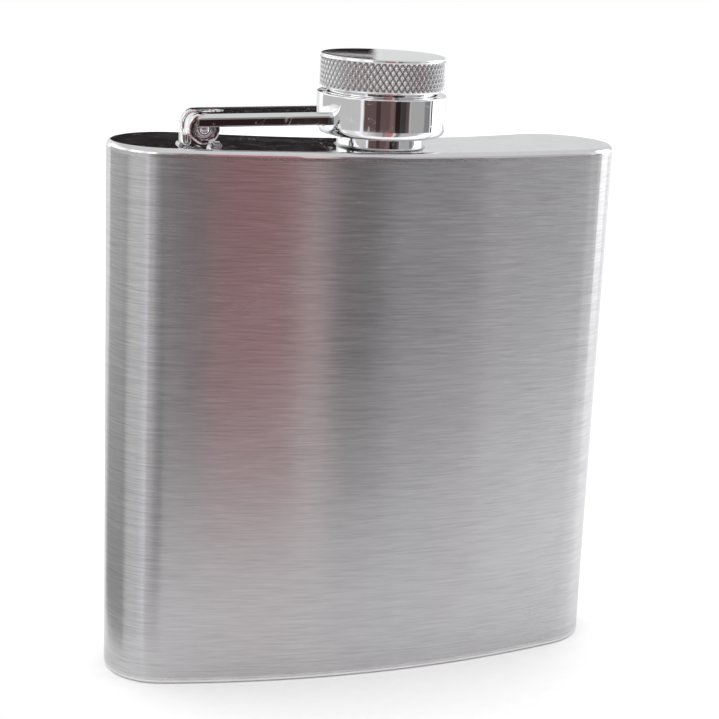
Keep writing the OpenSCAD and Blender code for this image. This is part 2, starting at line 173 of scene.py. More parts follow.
shell_rows = 64
dent = 0.035 * mm
ripple = 0.012 * mm
calm_points = 12
half_seam = math.degrees(seam_w / 2 / end_r)
shell_plan = outline(0, seam_angle + half_seam, seam_angle - half_seam, 2)
shell_points = []
for j in range(shell_rows + 1):
    z = shell_low.z + (shell_high.z - shell_low.z) * j / shell_rows
    share = j / shell_rows
    hold = min(1, 6 * share, 6 * (1 - share))
    for i, (p, n) in enumerate(shell_plan):
        ends = min(1, i / calm_points, (len(shell_plan) - 1 - i) / calm_points)
        spot = Vector((p.x * 28, p.y * 28, z * 14))
        stand = dent * noise.noise(spot) * hold * ends
        stand += ripple * noise.noise(spot * 3.1) * hold * ends
        shell_points.append((p.x + n.x * stand, p.y + n.y * stand, z))
shell = new_piece("shell", shell_points, quads(shell_rows + 1, len(shell_plan)))
add_sheet_wall(shell, sheet)
settle(shell)


def new_group(name, inputs, outputs):
    """An empty node group with number inputs and the named outputs, and its two end nodes."""
    group = bpy.data.node_groups.new(name, "ShaderNodeTree")
    for label, value in inputs:
        socket = group.interface.new_socket(name=label, in_out="INPUT", socket_type="NodeSocketFloat")
        socket.default_value = value
    for label, kind in outputs:
        group.interface.new_socket(name=label, in_out="OUTPUT", socket_type=kind)
    return group, group.nodes.new("NodeGroupInput"), group.nodes.new("NodeGroupOutput")


def add(tree, kind, sockets=None, **settings):
    """A node with its settings made and its sockets set or linked."""
    made = tree.nodes.new(kind)
    for label, value in settings.items():
        setattr(made, label, value)
    for label, value in (sockets or {}).items():
        if isinstance(value, bpy.types.NodeSocket):
            tree.links.new(value, made.inputs[label])
        else:
            made.inputs[label].default_value = value
    return made


def maths(tree, operation, a, b=0.0, c=0.0):
    """The result of one sum."""
    return add(tree, "ShaderNodeMath", {0: a, 1: b, 2: c}, operation=operation).outputs[0]


def mix_colour(tree, share, low, high):
    """A colour between two others."""
    mixed = add(tree, "ShaderNodeMix", {0: share, 6: low, 7: high}, data_type="RGBA")
    return mixed.outputs[2]


def grain_group():
    """Level brush lines. Height is the lines' profile, Lines their fine light and dark, and Streaks the
    broad light and dark runs."""
    group, start, end = new_group(
        "brush lines",
        [("Along", 30.0), ("Across", 3000.0), ("Lean", 0.02)],
        [
            ("Height", "NodeSocketFloat"),
            ("Lines", "NodeSocketFloat"),
            ("Streaks", "NodeSocketFloat"),
        ],
    )
    spot = add(group, "ShaderNodeTexCoord").outputs["Object"]
    parts = add(group, "ShaderNodeSeparateXYZ", {0: spot})
    x, y, z = parts.outputs
    heights = []
    for lean, along, across, detail in ((1, 1, 1, 4), (-1.6, 2.3, 2.1, 2), (0.6, 0.8, 0.55, 3)):
        run = maths(group, "MULTIPLY", start.outputs["Along"], along)
        cross = maths(group, "MULTIPLY", start.outputs["Across"], across)
        slant = maths(group, "MULTIPLY", start.outputs["Lean"], lean)
        level = maths(group, "MULTIPLY_ADD", x, slant, z)
        sheet_spot = add(
            group,
            "ShaderNodeCombineXYZ",
            {
                0: maths(group, "MULTIPLY", x, run),
                1: maths(group, "MULTIPLY", y, run),
                2: maths(group, "MULTIPLY", level, cross),
            },
        )
        lines = add(
            group,
            "ShaderNodeTexNoise",
            {"Vector": sheet_spot.outputs[0], "Scale": 1.0, "Detail": detail, "Roughness": 0.65},
        )
        heights.append(lines.outputs["Fac"])
    fine = maths(group, "MULTIPLY_ADD", heights[1], 0.5, heights[0])
    group.links.new(fine, end.inputs["Height"])
    lines = add(group, "ShaderNodeMapRange", {"Value": fine, "From Min": 0.5, "From Max": 1.0})
    group.links.new(lines.outputs[0], end.inputs["Lines"])
    streaks = add(
        group, "ShaderNodeMapRange", {"Value": heights[2], "From Min": 0.32, "From Max": 0.68}
    )
    group.links.new(streaks.outputs[0], end.inputs["Streaks"])
    return group


def smudge_group():
    """Soft marks that handling leaves. Mask is 1 where the steel is hazed."""
    group, start, end = new_group(
        "handling marks",
        [("Scale", 60.0), ("Amount", 0.5)],
        [("Mask", "NodeSocketFloat")],
    )
    spot = add(group, "ShaderNodeTexCoord").outputs["Object"]
    cloud = add(
        group,
        "ShaderNodeTexNoise",
        {"Vector": spot, "Scale": start.outputs["Scale"], "Detail": 5.0, "Distortion": 0.6},
    )
    marks = add(
        group, "ShaderNodeMapRange", {"Value": cloud.outputs["Fac"], "From Min": 0.45, "From Max": 0.72}
    )
    amount = maths(group, "MULTIPLY", marks.outputs[0], start.outputs["Amount"])
    group.links.new(amount, end.inputs["Mask"])
    return group


def scratch_group():
    """Hairline scratches that cross at odd angles. Mask is 1 on a scratch."""
    group, start, end = new_group(
        "hairlines",
        [("Scale", 900.0), ("Width", 0.03)],
        [("Mask", "NodeSocketFloat")],
    )
    spot = add(group, "ShaderNodeTexCoord").outputs["Object"]
    found = None
    for turn in ((0.3, 1.1, 0.5), (1.9, 0.4, 2.2), (2.6, 2.0, 1.0)):
        turned = add(group, "ShaderNodeVectorRotate", {"Vector": spot, "Rotation": turn},
                     rotation_type="EULER_XYZ")
        stretched = add(
            group, "ShaderNodeMapping", {"Vector": turned.outputs[0], "Scale": (1.0, 0.06, 0.35)}
        )
        lines = add(
            group,
            "ShaderNodeTexNoise",
            {"Vector": stretched.outputs[0], "Scale": start.outputs["Scale"], "Detail": 2.0},
        )
        offset = maths(group, "ABSOLUTE", maths(group, "SUBTRACT", lines.outputs["Fac"], 0.66))
        line = maths(group, "LESS_THAN", offset, start.outputs["Width"])
        found = line if found is None else maths(group, "MAXIMUM", found, line)
    group.links.new(found, end.inputs["Mask"])
    return group


brush_lines = grain_group()
handling_marks = smudge_group()
hairlines = scratch_group()


def place_group(tree, group, **values):
    """A group in a material, with its own values."""
    made = tree.nodes.new("ShaderNodeGroup")
    made.node_tree = group
    for label, value in values.items():
        made.inputs[label].default_value = value
    return made


def new_finish(name, **sockets):
    """A material with its Principled shader, whose plain sockets are set, and its node tree."""
    finish = bpy.data.materials.new(name)
    finish.use_nodes = True
    tree = finish.node_tree
    shader = tree.nodes["Principled BSDF"]
    for label, value in sockets.items():
        shader.inputs[label.replace("_", " ")].default_value = value
    return finish, tree, shader


def bump(tree, shader, height, strength, distance):
    """Raises the shader's surface by a height map."""
    raised = add(tree, "ShaderNodeBump", {"Height": height, "Strength": strength, "Distance": distance})
    tree.links.new(raised.outputs[0], shader.inputs["Normal"])


def brushed_steel():
    """Level-brushed stainless steel."""
    finish, tree, shader = new_finish(
        "brushed_steel", Metallic=1.0, Anisotropic=1.0, Anisotropic_Rotation=0.25
    )
    lines = place_group(tree, brush_lines, Along=150.0, Across=4800.0, Lean=0.02)
    marks = place_group(tree, handling_marks, Scale=42.0, Amount=0.5)
    grain = maths(tree, "MULTIPLY_ADD", lines.outputs["Streaks"], 0.36, lines.outputs["Lines"])
    colour = mix_colour(tree, grain, (0.40, 0.395, 0.402, 1), (0.56, 0.555, 0.565, 1))
    tree.links.new(colour, shader.inputs["Base Color"])
    haze = maths(tree, "MULTIPLY_ADD", marks.outputs["Mask"], 0.05, 0.20)
    rough = maths(tree, "MULTIPLY_ADD", lines.outputs["Height"], 0.06, haze)
    tree.links.new(rough, shader.inputs["Roughness"])
    tangent = add(tree, "ShaderNodeTangent", direction_type="RADIAL", axis="Z")
    tree.links.new(tangent.outputs[0], shader.inputs["Tangent"])
    bump(tree, shader, lines.outputs["Height"], 0.15, 0.00001)
    return finish


shell_finish = brushed_steel()
place(shell, "flask", "body_shell", shell_finish)


# ---- Seam and edge welds ------------------------------------------------------------------------
# The seam closes the shell, and the two bands join it to the end plates. Each is laser welded and
# then ground flush, which leaves a fine bright line.
def ground_weld():
    """Weld metal, ground and polished."""
    finish, tree, shader = new_finish("ground_weld", Metallic=1.0)
    lines = place_group(tree, brush_lines, Along=260.0, Across=5200.0, Lean=0.2)
    colour = mix_colour(
        tree, lines.outputs["Streaks"], (0.50, 0.49, 0.49, 1), (0.66, 0.65, 0.65, 1)
    )
    tree.links.new(colour, shader.inputs["Base Color"])
    rough = maths(tree, "MULTIPLY_ADD", lines.outputs["Height"], 0.16, 0.16)
    tree.links.new(rough, shader.inputs["Roughness"])
    bump(tree, shader, lines.outputs["Height"], 0.3, 0.00004)
    return finish


def dress(node, finish):
    """Gives a CAD node that keeps its own shape a material."""
    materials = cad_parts[node].data.materials
    materials.clear()
    materials.append(finish)


weld_finish = ground_weld()
for weld in ("side_seam", "top_weld", "base_weld", "neck_weld", "lug_weld_left", "lug_weld_right",
             "arm_weld"):
    dress(weld, weld_finish)


# ---- End plates ---------------------------------------------------------------------------------
# Two pressed plates with their edges rolled over to meet the shell, mirror polished. The top one has
# a hole for the neck. Neither is quite flat, which bends what they mirror a little.
plate_low, plate_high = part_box("top_plate")
base_low, base_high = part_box("base_plate")
body_h = plate_high.z
neck_hole_r = 7.6 * mm
roll_steps = 10
plate_rings = 16
plate_sink = 0.03 * mm


def end_plate(name, edge_r, hole_r, at_z, up):
    """A plate with its edge rolled away from its flat face, which lies at at_z and looks up or down."""
    def ring(inset, depth):
        plan = outline(inset, seam_angle, seam_angle - 0.01, 2)[:-1]
        return [(p.x, p.y, at_z - up * depth) for p, _ in plan]

    points = []
    rows = 0
    for k in range(roll_steps + 1):
        angle = math.pi / 2 * k / roll_steps
        points += ring(edge_r * (1 - math.cos(angle)), edge_r * (1 - math.sin(angle)))
        rows += 1
    rim = ring(edge_r, 0)
    for k in range(1, plate_rings + 1):
        share = (k / plate_rings) ** 1.5
        for x, y, z in rim:
            across = math.hypot(x, y)
            inner = Vector((x, y)) / across * hole_r
            sink = plate_sink * abs(noise.noise(Vector((x * 30, y * 30, up)))) * min(1, 4 * share)
            crown = -up * sink * min(1, 4 * (1 - share))
            points.append((x + (inner.x - x) * share, y + (inner.y - y) * share, z + crown))
        rows += 1
    columns = len(rim)
    faces = quads(rows, columns, closed=True)
    if hole_r < mm:
        faces.append(tuple((rows - 1) * columns + i for i in range(columns)))
    if up < 0:
        faces = [face[::-1] for face in faces]
    plate = new_piece(name, points, faces)
    add_sheet_wall(plate, sheet)
    return settle(plate, 50)


def polished_steel(name, base, marks_amount, rough, wave):
    """Mirror-polished steel with a little haze, hairlines and the faint waves that polishing leaves."""
    finish, tree, shader = new_finish(name, Metallic=1.0)
    marks = place_group(tree, handling_marks, Scale=150.0, Amount=marks_amount)
    fine = place_group(tree, hairlines, Scale=700.0, Width=0.006)
    dull = tuple(0.86 * c for c in base) + (1.0,)
    colour = mix_colour(tree, marks.outputs["Mask"], tuple(base) + (1.0,), dull)
    tree.links.new(colour, shader.inputs["Base Color"])
    hazed = maths(tree, "MULTIPLY_ADD", marks.outputs["Mask"], 0.10, rough)
    scratched = maths(tree, "MULTIPLY_ADD", fine.outputs["Mask"], 0.18, hazed)
    tree.links.new(scratched, shader.inputs["Roughness"])
    spot = add(tree, "ShaderNodeTexCoord").outputs["Object"]
    waves = add(
        tree, "ShaderNodeTexNoise", {"Vector": spot, "Scale": 170.0, "Detail": 2.0, "Roughness": 0.4}
    )
    bump(tree, shader, waves.outputs["Fac"], 0.5, wave)
    return finish


plate_finish = polished_steel("polished_plate_steel", (0.80, 0.80, 0.81), 0.5, 0.05, 0.00006)
top_plate = end_plate("top_end_plate", plate_high.z - plate_low.z, neck_hole_r, plate_high.z, 1)
place(top_plate, "flask", "top_plate", plate_finish)
base_plate = end_plate("base_end_plate", base_high.z - base_low.z, 0.2 * mm, base_low.z, -1)
place(base_plate, "flask", "base_plate", plate_finish)


# ---- Neck ---------------------------------------------------------------------------------------
# A turned steel tube, set through the top plate from below and welded round its foot. Above the plain
# foot it carries the screw thread, which the cap hides when it is closed.
touching = 0.00002 * mm


def rounded(corners, steps=6):
    """A profile through the given corners (r, z, radius), in millimetres, with each corner rounded."""
    count = len(corners)
    row = []
    for i, (r, z, radius) in enumerate(corners):
        here = Vector((r, z))
        if radius <= 0 or i in (0, count - 1):
            row.append(here)
            continue
        before = Vector(corners[i - 1][:2]) - here
        after = Vector(corners[i + 1][:2]) - here
        half = before.angle(after) / 2
        reach = min(radius / math.tan(half), 0.49 * before.length, 0.49 * after.length)
        a = here + before.normalized() * reach
        b = here + after.normalized() * reach
        for k in range(steps + 1):
            t = k / steps
            row.append(a * (1 - t) ** 2 + here * 2 * t * (1 - t) + b * t**2)
    return row


def face_outward(piece, join=False):
    """Turns every face of a piece to look outward, first joining the points that coincide if asked."""
    shaped = bmesh.new()
    shaped.from_mesh(piece.data)
    if join:
        bmesh.ops.remove_doubles(shaped, verts=shaped.verts, dist=touching)
    bmesh.ops.recalc_face_normals(shaped, faces=shaped.faces)
    shaped.to_mesh(piece.data)
    shaped.free()


def turned(name, profile, steps=160, wobble=None):
    """A piece turned about the neck's axis from a closed profile of (r, z) points in millimetres, which
    runs anticlockwise in the half plane."""
    count = len(profile)
    points = []
    for i in range(steps):
        angle = 2 * math.pi * i / steps
        for r, z in profile:
            reach = r + (wobble(angle, r, z) if wobble else 0)
            points.append((reach * math.cos(angle) * mm, reach * math.sin(angle) * mm, z * mm))
    faces = []
    for i in range(steps):
        for k in range(count):
            a, b = i * count + k, i * count + (k + 1) % count
            c, d = (i + 1) % steps * count + (k + 1) % count, (i + 1) % steps * count + k
            faces.append((a, d, c, b))
    piece = new_piece(name, points, faces)
    face_outward(piece, join=True)
    return piece


thread_pitch = 1.5
thread_ridge = 0.45
neck_box_low, neck_box_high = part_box("neck")
neck_top = neck_box_high.z / mm
neck_low = neck_box_low.z / mm
plate_z = body_h / mm
foot_h = 2.9
foot_top = plate_z + foot_h
neck_flange_w = 0.7
plate_under = plate_z - sheet / mm
thread_start = foot_top + 0.15
thread_end = neck_top - 0.25
thread_fade = 0.35
neck_r = neck_hole_r / mm
bore_r = 5.9
root_r = neck_r - 0.15 - thread_ridge


def thread_height(phase):
    """Height of a ridge, 0 to 1, by the distance from its middle in turns."""
    away = abs((phase + 0.5) % 1 - 0.5) * 2
    return max(0.0, min(1.0, (0.55 - away) / 0.3))


def neck_thread(angle, r, z):
    """How far the thread stands out of the neck's wall at a place."""
    if z < thread_start or z > thread_end or r < root_r - 0.05:
        return 0
    turn = (z - foot_top - 0.45) / thread_pitch - angle / (2 * math.pi)
    fade = min(1, max(0, (z - thread_start) / thread_fade), max(0, (thread_end - z) / thread_fade))
    return thread_ridge * thread_height(turn) * fade


rows_low = foot_top + 0.05
neck_rows = [Vector((root_r, rows_low + (thread_end - rows_low) * k / 90)) for k in range(91)]
neck_profile = (
    rounded(
        [
            (bore_r, neck_low, 0),
            (neck_r + neck_flange_w, neck_low, 0.1),
            (neck_r + neck_flange_w, plate_under, 0.05),
            (neck_r, plate_under, 0.05),
            (neck_r, foot_top, 0.2),
            (root_r, foot_top, 0),
        ]
    )
    + neck_rows
    + rounded(
        [
            (root_r, neck_top - 0.24, 0),
            (root_r, neck_top, 0.2),
            (bore_r, neck_top, 0.25),
            (bore_r, neck_top - 2, 0),
        ]
    )
)
fittings_finish = polished_steel("polished_fittings_steel", (0.84, 0.84, 0.85), 0.4, 0.045, 0.00008)
neck = settle(turned("threaded_neck", neck_profile, 192, neck_thread), 40)
place(neck, "flask", "neck", fittings_finish)


# ---- Hinge lug ----------------------------------------------------------------------------------
# A strip of steel bent over the hinge pin, with a foot on each side that is welded to the top plate.
# The outer foot ends in an upturned toe.
hinge_x = -32.0
pin_r = 1.65
pin_low, pin_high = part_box("hinge_pin")
pin_z = (pin_low.z + pin_high.z) / 2 / mm
lug_sheet = 0.75
lug_w = 3.4
lug_foot = 0.8
toe_h = 1.9
toe_w = 3.2


def bent_strip(name, path, width, thickness, edge=0.16, middle=(0, 0)):
    """A strip that follows a path of (x, z) points in millimetres, width across, with soft edges. The
    path is the strip's middle line."""
    points = []
    half_w, half_t = width / 2, thickness / 2
    section = []
    corners = ((1, 1, 0), (-1, 1, 90), (-1, -1, 180), (1, -1, 270))
    for side, face, start in corners:
        for k in range(4):
            angle = math.radians(start + 90 * k / 3)
            section.append(
                (
                    side * (half_w - edge) + edge * math.cos(angle),
                    face * (half_t - edge) + edge * math.sin(angle),
                )
            )
    count = len(section)
    for i, here in enumerate(path):
        before, after = path[max(i - 1, 0)], path[min(i + 1, len(path) - 1)]
        along = (Vector(after) - Vector(before)).normalized()
        out = Vector((-along.y, along.x))
        for y, t in section:
            x, z = Vector(here) + out * t
            points.append(((middle[0] + x) * mm, y * mm, (middle[1] + z) * mm))
    faces = quads(len(path), count, closed=True)
    faces.append(tuple(reversed(range(count))))
    faces.append(tuple((len(path) - 1) * count + k for k in range(count)))
    piece = new_piece(name, points, faces)
    face_outward(piece)
    return piece


def bend_path(corners, steps=8):
    """A path through corners (x, z, radius) with each corner rounded, and with points along its
    straight runs."""
    row = rounded(corners, steps)
    path = [row[0]]
    for point in row[1:]:
        if (point - path[-1]).length > 0.01:
            path.append(point)
    return path


def join_pieces(name, pieces):
    """One object of several meshes."""
    points, faces = [], []
    for piece in pieces:
        base = len(points)
        points += [tuple(v.co) for v in piece.data.vertices]
        faces += [tuple(base + k for k in p.vertices) for p in piece.data.polygons]
        bpy.data.objects.remove(piece)
    return new_piece(name, points, faces)


strap_r = pin_r + lug_sheet / 2
drop = pin_z - plate_z - lug_sheet / 2
over = [
    (strap_r * math.cos(math.radians(a)), strap_r * math.sin(math.radians(a))) for a in range(0, 181, 9)
]
toe_x = pin_r + lug_sheet + lug_foot
lug_strap = bend_path([(toe_x, -drop, 0), (strap_r, -drop, 0.5), (strap_r, -0.02, 0)])
lug_strap += [Vector(p) for p in over]
lug_strap += bend_path([(-strap_r, -0.02, 0), (-strap_r, -drop, 0.5), (-toe_x + lug_sheet, -drop, 0)])
strap = bent_strip("strap", lug_strap, lug_w, lug_sheet, 0.2, (hinge_x, pin_z))
toe_path = bend_path(
    [
        (-strap_r - 0.2, -drop, 0),
        (-toe_x + lug_sheet / 2, -drop, 0.45),
        (-toe_x + lug_sheet / 2, -drop + toe_h - lug_sheet / 2, 0),
    ]
)
toe = bent_strip("toe", toe_path, toe_w, lug_sheet * 0.98, 0.3, (hinge_x, pin_z))
lug = settle(join_pieces("lug", [strap, toe]), 50)
place(lug, "flask", "hinge_lug", fittings_finish)


# ---- Hinge pin ----------------------------------------------------------------------------------
# A short steel pin through the lug and the arm's two knuckles. Each end is turned down to a stub that
# stands in the knuckle's mouth, with a punched hollow in it.
pin_reach = (pin_high.y - pin_low.y) / 2 / mm
pin_end_r = 1.2
pin_end_l = 0.7
hollow_r = 0.65
hollow_depth = 0.9


def pin_profile():
    """Half section of the pin from one end's middle to the other's, as (r, distance along it)."""
    half = [
        (0.0, pin_reach - hollow_depth, 0),
        (hollow_r * 0.9, pin_reach - hollow_depth + 0.15, 0.15),
        (hollow_r, pin_reach - 0.1, 0.1),
        (hollow_r + 0.15, pin_reach, 0.12),
        (pin_end_r, pin_reach, 0.2),
        (pin_end_r, pin_reach - pin_end_l, 0.1),
        (pin_r, pin_reach - pin_end_l, 0.15),
        (pin_r, 0.0, 0),
    ]
    top = rounded(half)
    return [Vector((r, -z)) for r, z in top] + [Vector((r, z)) for r, z in reversed(top[:-1])]


pin = turned("rivet_pin", pin_profile(), 72)
pin.data.transform(
    Matrix.Translation((hinge_x * mm, 0, pin_z * mm)) @ Matrix.Rotation(math.pi / 2, 4, "X")
)
settle(pin, 50)
place(pin, "flask", "hinge_pin", fittings_finish)


# ---- Arm ----------------------------------------------------------------------------------------
# A blank of steel sheet, slotted at the hinge end. Its sides are pressed down to stiffen it, and its
# two tongues are rolled round the hinge pin.
arm_low, arm_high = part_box("arm")
collar_low, collar_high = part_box("collar")
collar_r = (collar_high.x - collar_low.x) / 2 / mm
arm_w = (arm_high.y - arm_low.y) / mm
arm_sheet = 0.85
arm_edge = 0.16
flange_h = 2.1
arm_slope = 1.4
pin_play = 0.06
knuckle_r = pin_r + pin_play + arm_sheet
fold_r = 0.9
slot_w = lug_w + 0.6
slot_l = toe_x + 1.0
flange_back = 1.2
roll_end = 300
fold_arc = fold_r * math.pi / 2
flat_half = arm_w / 2 - fold_r
tongue_side = flat_half - 0.05
blank_half = flat_half + fold_arc + flange_h - fold_r
hinge_reach = -hinge_x


def folded(s, y, depth):
    """Where a place on the flat blank ends up: s along the arm from over the pin, y across it, and
    depth below its outer face."""
    side = 1 if y >= 0 else -1
    away = abs(y)
    if s < 0 and away <= flat_half:
        radius = knuckle_r - depth
        angle = -s / knuckle_r
        return Vector((-radius * math.sin(angle), y, radius * math.cos(angle)))
    if away <= flat_half:
        return Vector((s, y, knuckle_r - depth))
    turn = min((away - flat_half) / fold_r, math.pi / 2)
    radius = fold_r - depth
    across = flat_half + radius * math.sin(turn)
    height = knuckle_r - fold_r + radius * math.cos(turn)
    beyond = max(0, away - flat_half - fold_arc)
    return Vector((s, side * across, height - beyond))


def collar_end(y):
    """Where the arm's far end meets the round collar."""
    across = min(abs(y), arm_w / 2)
    return hinge_reach - math.sqrt(collar_r**2 - across**2) + 0.15


def arm_blank():
    """The outline of one half of the blank, from the slot's end out along the tongue and back."""
    roll = -math.radians(roll_end) * knuckle_r
    middle = slot_l - slot_w / 2
    half_slot = [
        (middle + slot_w / 2 * math.cos(math.radians(a)), slot_w / 2 * math.sin(math.radians(a)))
        for a in range(0, 91, 10)
    ]
    side = half_slot + [
        (roll, slot_w / 2),
        (roll, tongue_side),
        (0.3, tongue_side),
        (0.3, flat_half + 0.15),
        (-flange_back, flat_half + fold_arc * 0.85),
        (-flange_back, blank_half),
    ]
    far = [(collar_end(y), y) for y in [blank_half, flat_half + fold_arc] + [
        flat_half * k / 8 for k in range(8, -1, -1)]]
    return side + far


half = arm_blank()
whole = half + [(s, -y) for s, y in reversed(half[1:-1])]
flat_arm = bmesh.new()
flat_arm.faces.new([flat_arm.verts.new((s, y, 0)) for s, y in whole])
cuts = [((-k * 0.35, 0, 0), (1, 0, 0)) for k in range(0, 40)]
cuts += [((k * 1.5, 0, 0), (1, 0, 0)) for k in range(1, 15)]
for side in (-1, 1):
    cuts += [((0, side * (flat_half + fold_arc * k / 7), 0), (0, 1, 0)) for k in range(8)]
    cuts += [((0, side * y, 0), (0, 1, 0)) for y in (1.0, 3.0, blank_half - 0.3)]
for place_at, facing in cuts:
    bmesh.ops.bisect_plane(
        flat_arm,
        geom=flat_arm.verts[:] + flat_arm.edges[:] + flat_arm.faces[:],
        plane_co=place_at,
        plane_no=facing,
        dist=1e-5,
    )
flat_arm.verts.index_update()
blank = [(v.co.x, v.co.y) for v in flat_arm.verts]
blank_faces = [[v.index for v in f.verts] for f in flat_arm.faces]
rim_edges = [
    (loop.vert.index, loop.link_loop_next.vert.index)
    for f in flat_arm.faces
    for loop in f.loops
    if loop.edge.is_boundary
]
flat_arm.free()
on_arm = Matrix.Translation((hinge_x * mm, 0, pin_z * mm)) @ Matrix.Rotation(
    math.radians(-arm_slope), 4, "Y"
)
arm_points = [on_arm @ (folded(s, y, 0) * mm) for s, y in blank]
arm_points += [on_arm @ (folded(s, y, arm_sheet) * mm) for s, y in blank]
count = len(blank)
arm_faces = [tuple(f) for f in blank_faces]
arm_faces += [tuple(count + k for k in reversed(f)) for f in blank_faces]
arm_faces += [(b, a, a + count, b + count) for a, b in rim_edges]
arm = new_piece("pressed_arm", arm_points, arm_faces)
face_outward(arm)
edges = arm.modifiers.new("soft edges", "BEVEL")
edges.limit_method = "ANGLE"
edges.angle_limit = math.radians(50)
edges.width = arm_edge * mm
edges.segments = 3
edges.use_clamp_overlap = True
settle(arm, 50)
place(arm, "arm", "arm", fittings_finish)


# ---- Collar -------------------------------------------------------------------------------------
# A deep-drawn steel ring that the arm is welded to. It hangs on the cap's lower end, which turns in
# it, and its floor keeps the retaining ring in.
collar_z = collar_low.z / mm
collar_top = collar_high.z / mm
collar_wall = 0.8
collar_in_r = collar_r - collar_wall
collar_floor = 0.6
collar_lip = 0.6
collar_hole_r = 8.05
lip_r = 9.5
collar_profile = rounded(
    [
        (collar_hole_r, collar_z, 0.2),
        (collar_r, collar_z, 1.7),
        (collar_r, collar_top, 0.3),
        (lip_r, collar_top, 0.2),
        (lip_r, collar_top - collar_lip, 0.1),
        (collar_in_r, collar_top - collar_lip, 0.3),
        (collar_in_r, collar_z + collar_floor, 0.9),
        (collar_hole_r, collar_z + collar_floor, 0.2),
        (collar_hole_r, collar_z, 0),
    ],
    8,
)
collar_profile[0] = Vector((collar_hole_r, collar_z + 0.1))
collar_profile[-1] = Vector((collar_hole_r, collar_z + 0.11))
collar = settle(turned("drawn_collar", collar_profile, 192), 50)
place(collar, "arm", "collar", fittings_finish)


# ---- Cap ----------------------------------------------------------------------------------------
# A drawn steel cup with a diamond knurl pressed round it, over a moulded insert with the screw
# thread. The top is polished flat, and a plain bright rim runs round it above the knurl.
cup_low, cup_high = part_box("cap_cup")
head_z = cup_low.z / mm
head_top = cup_high.z / mm
head_r = (cup_high.x - cup_low.x) / 2 / mm
rim_h = 0.7
low_rim_h = 0.4
knurl_count = 64
knurl_rows = 3
knurl_depth = 0.35
cup_in_r = 9.7
cup_top_t = 0.8
crown = 0.09
knurl_low = head_z + low_rim_h
knurl_high = head_top - rim_h


def knurl_height(angle, z):
    """Height of the knurl, 0 in the grooves to 1 on the points, by two sets of slanting grooves."""
    around = angle / (2 * math.pi) * knurl_count
    up = (z - knurl_low) / (knurl_high - knurl_low) * knurl_rows
    first = abs((around + up) % 1 - 0.5) * 2
    second = abs((around - up) % 1 - 0.5) * 2
    return 1 - max(first, second) ** 1.3


def cup_wobble(angle, r, z):
    """The knurl's grooves, cut into the band between the two rims."""
    if r < head_r - 0.3 or z < knurl_low or z > knurl_high:
        return 0
    fade = min(1, (z - knurl_low) / 0.12, (knurl_high - z) / 0.12)
    return -knurl_depth * (1 - knurl_height(angle, z)) * fade


knurl_steps = 28
band = [Vector((head_r, knurl_low + (knurl_high - knurl_low) * k / knurl_steps)) for k in
        range(knurl_steps + 1)]
cup_profile = (
    rounded([(cup_in_r, head_z + 0.2, 0), (cup_in_r, head_z, 0.1), (head_r - 0.12, head_z, 0.25),
             (head_r - 0.1, knurl_low - 0.06, 0)])
    + band
    + rounded([(head_r - 0.1, knurl_high + 0.06, 0), (head_r - 0.1, head_top - crown, 0.35),
               (head_r - 1.2, head_top - crown * (1 - 1.2 / head_r) ** 2, 0)])
    + [Vector((head_r * k / 12, head_top - crown * (k / 12) ** 2)) for k in range(10, -1, -1)]
    + rounded([(0.0, head_top - cup_top_t, 0), (cup_in_r, head_top - cup_top_t, 0.3),
               (cup_in_r, head_z + 0.5, 0)])
)


def knurled_steel():
    """Polished steel whose knurl, known by how far it lies from the cap's axis, is duller and darker:
    its grooves carry painted shade, darker the deeper they lie.
    """
    # The groove colour is painted shade for the bottoms of the knurl's grooves.
    base, groove = (0.84, 0.84, 0.85, 1), (0.26, 0.25, 0.25, 1)
    finish, tree, shader = new_finish("knurled_cap_steel", Metallic=1.0)
    marks = place_group(tree, handling_marks, Scale=150.0, Amount=0.4)
    spot = add(tree, "ShaderNodeTexCoord").outputs["Object"]
    x, y, z = add(tree, "ShaderNodeSeparateXYZ", {0: spot}).outputs
    away = maths(tree, "SQRT", maths(tree, "ADD", maths(tree, "MULTIPLY", x, x),
                                     maths(tree, "MULTIPLY", y, y)))
    above = add(tree, "ShaderNodeMapRange", {
        "Value": z, "From Min": (knurl_low - 0.05) * mm, "From Max": (knurl_low + 0.05) * mm})
    below = add(tree, "ShaderNodeMapRange", {
        "Value": z, "From Min": (knurl_high + 0.05) * mm, "From Max": (knurl_high - 0.05) * mm})
    band = maths(tree, "MULTIPLY", above.outputs[0], below.outputs[0])
    depth = add(tree, "ShaderNodeMapRange", {
        "Value": away, "From Min": head_r * mm, "From Max": (head_r - knurl_depth) * mm})
    # Painted shade: the knurl's grooves turn towards the groove colour the deeper they lie, where shade
    # falls.
    painted_groove_shade = maths(tree, "MULTIPLY", band, depth.outputs[0])
    worn = mix_colour(tree, marks.outputs["Mask"], base, (0.72, 0.72, 0.73, 1))
    pressed = mix_colour(tree, maths(tree, "MULTIPLY", band, 0.45), worn, (0.78, 0.775, 0.78, 1))
    tree.links.new(mix_colour(tree, painted_groove_shade, pressed, groove), shader.inputs["Base Color"])
    hazed = maths(tree, "MULTIPLY_ADD", marks.outputs["Mask"], 0.1, 0.045)
    tree.links.new(maths(tree, "MULTIPLY_ADD", band, 0.22, hazed), shader.inputs["Roughness"])
    waves = add(
        tree, "ShaderNodeTexNoise", {"Vector": spot, "Scale": 900.0, "Detail": 3.0, "Roughness": 0.5}
    )
    bump(tree, shader, waves.outputs["Fac"], 0.4, 0.00002)
    return finish


cup = settle(turned("knurled_cup", cup_profile, knurl_count * 10, cup_wobble), 60)
place(cup, "cap", "cap_cup", knurled_steel())


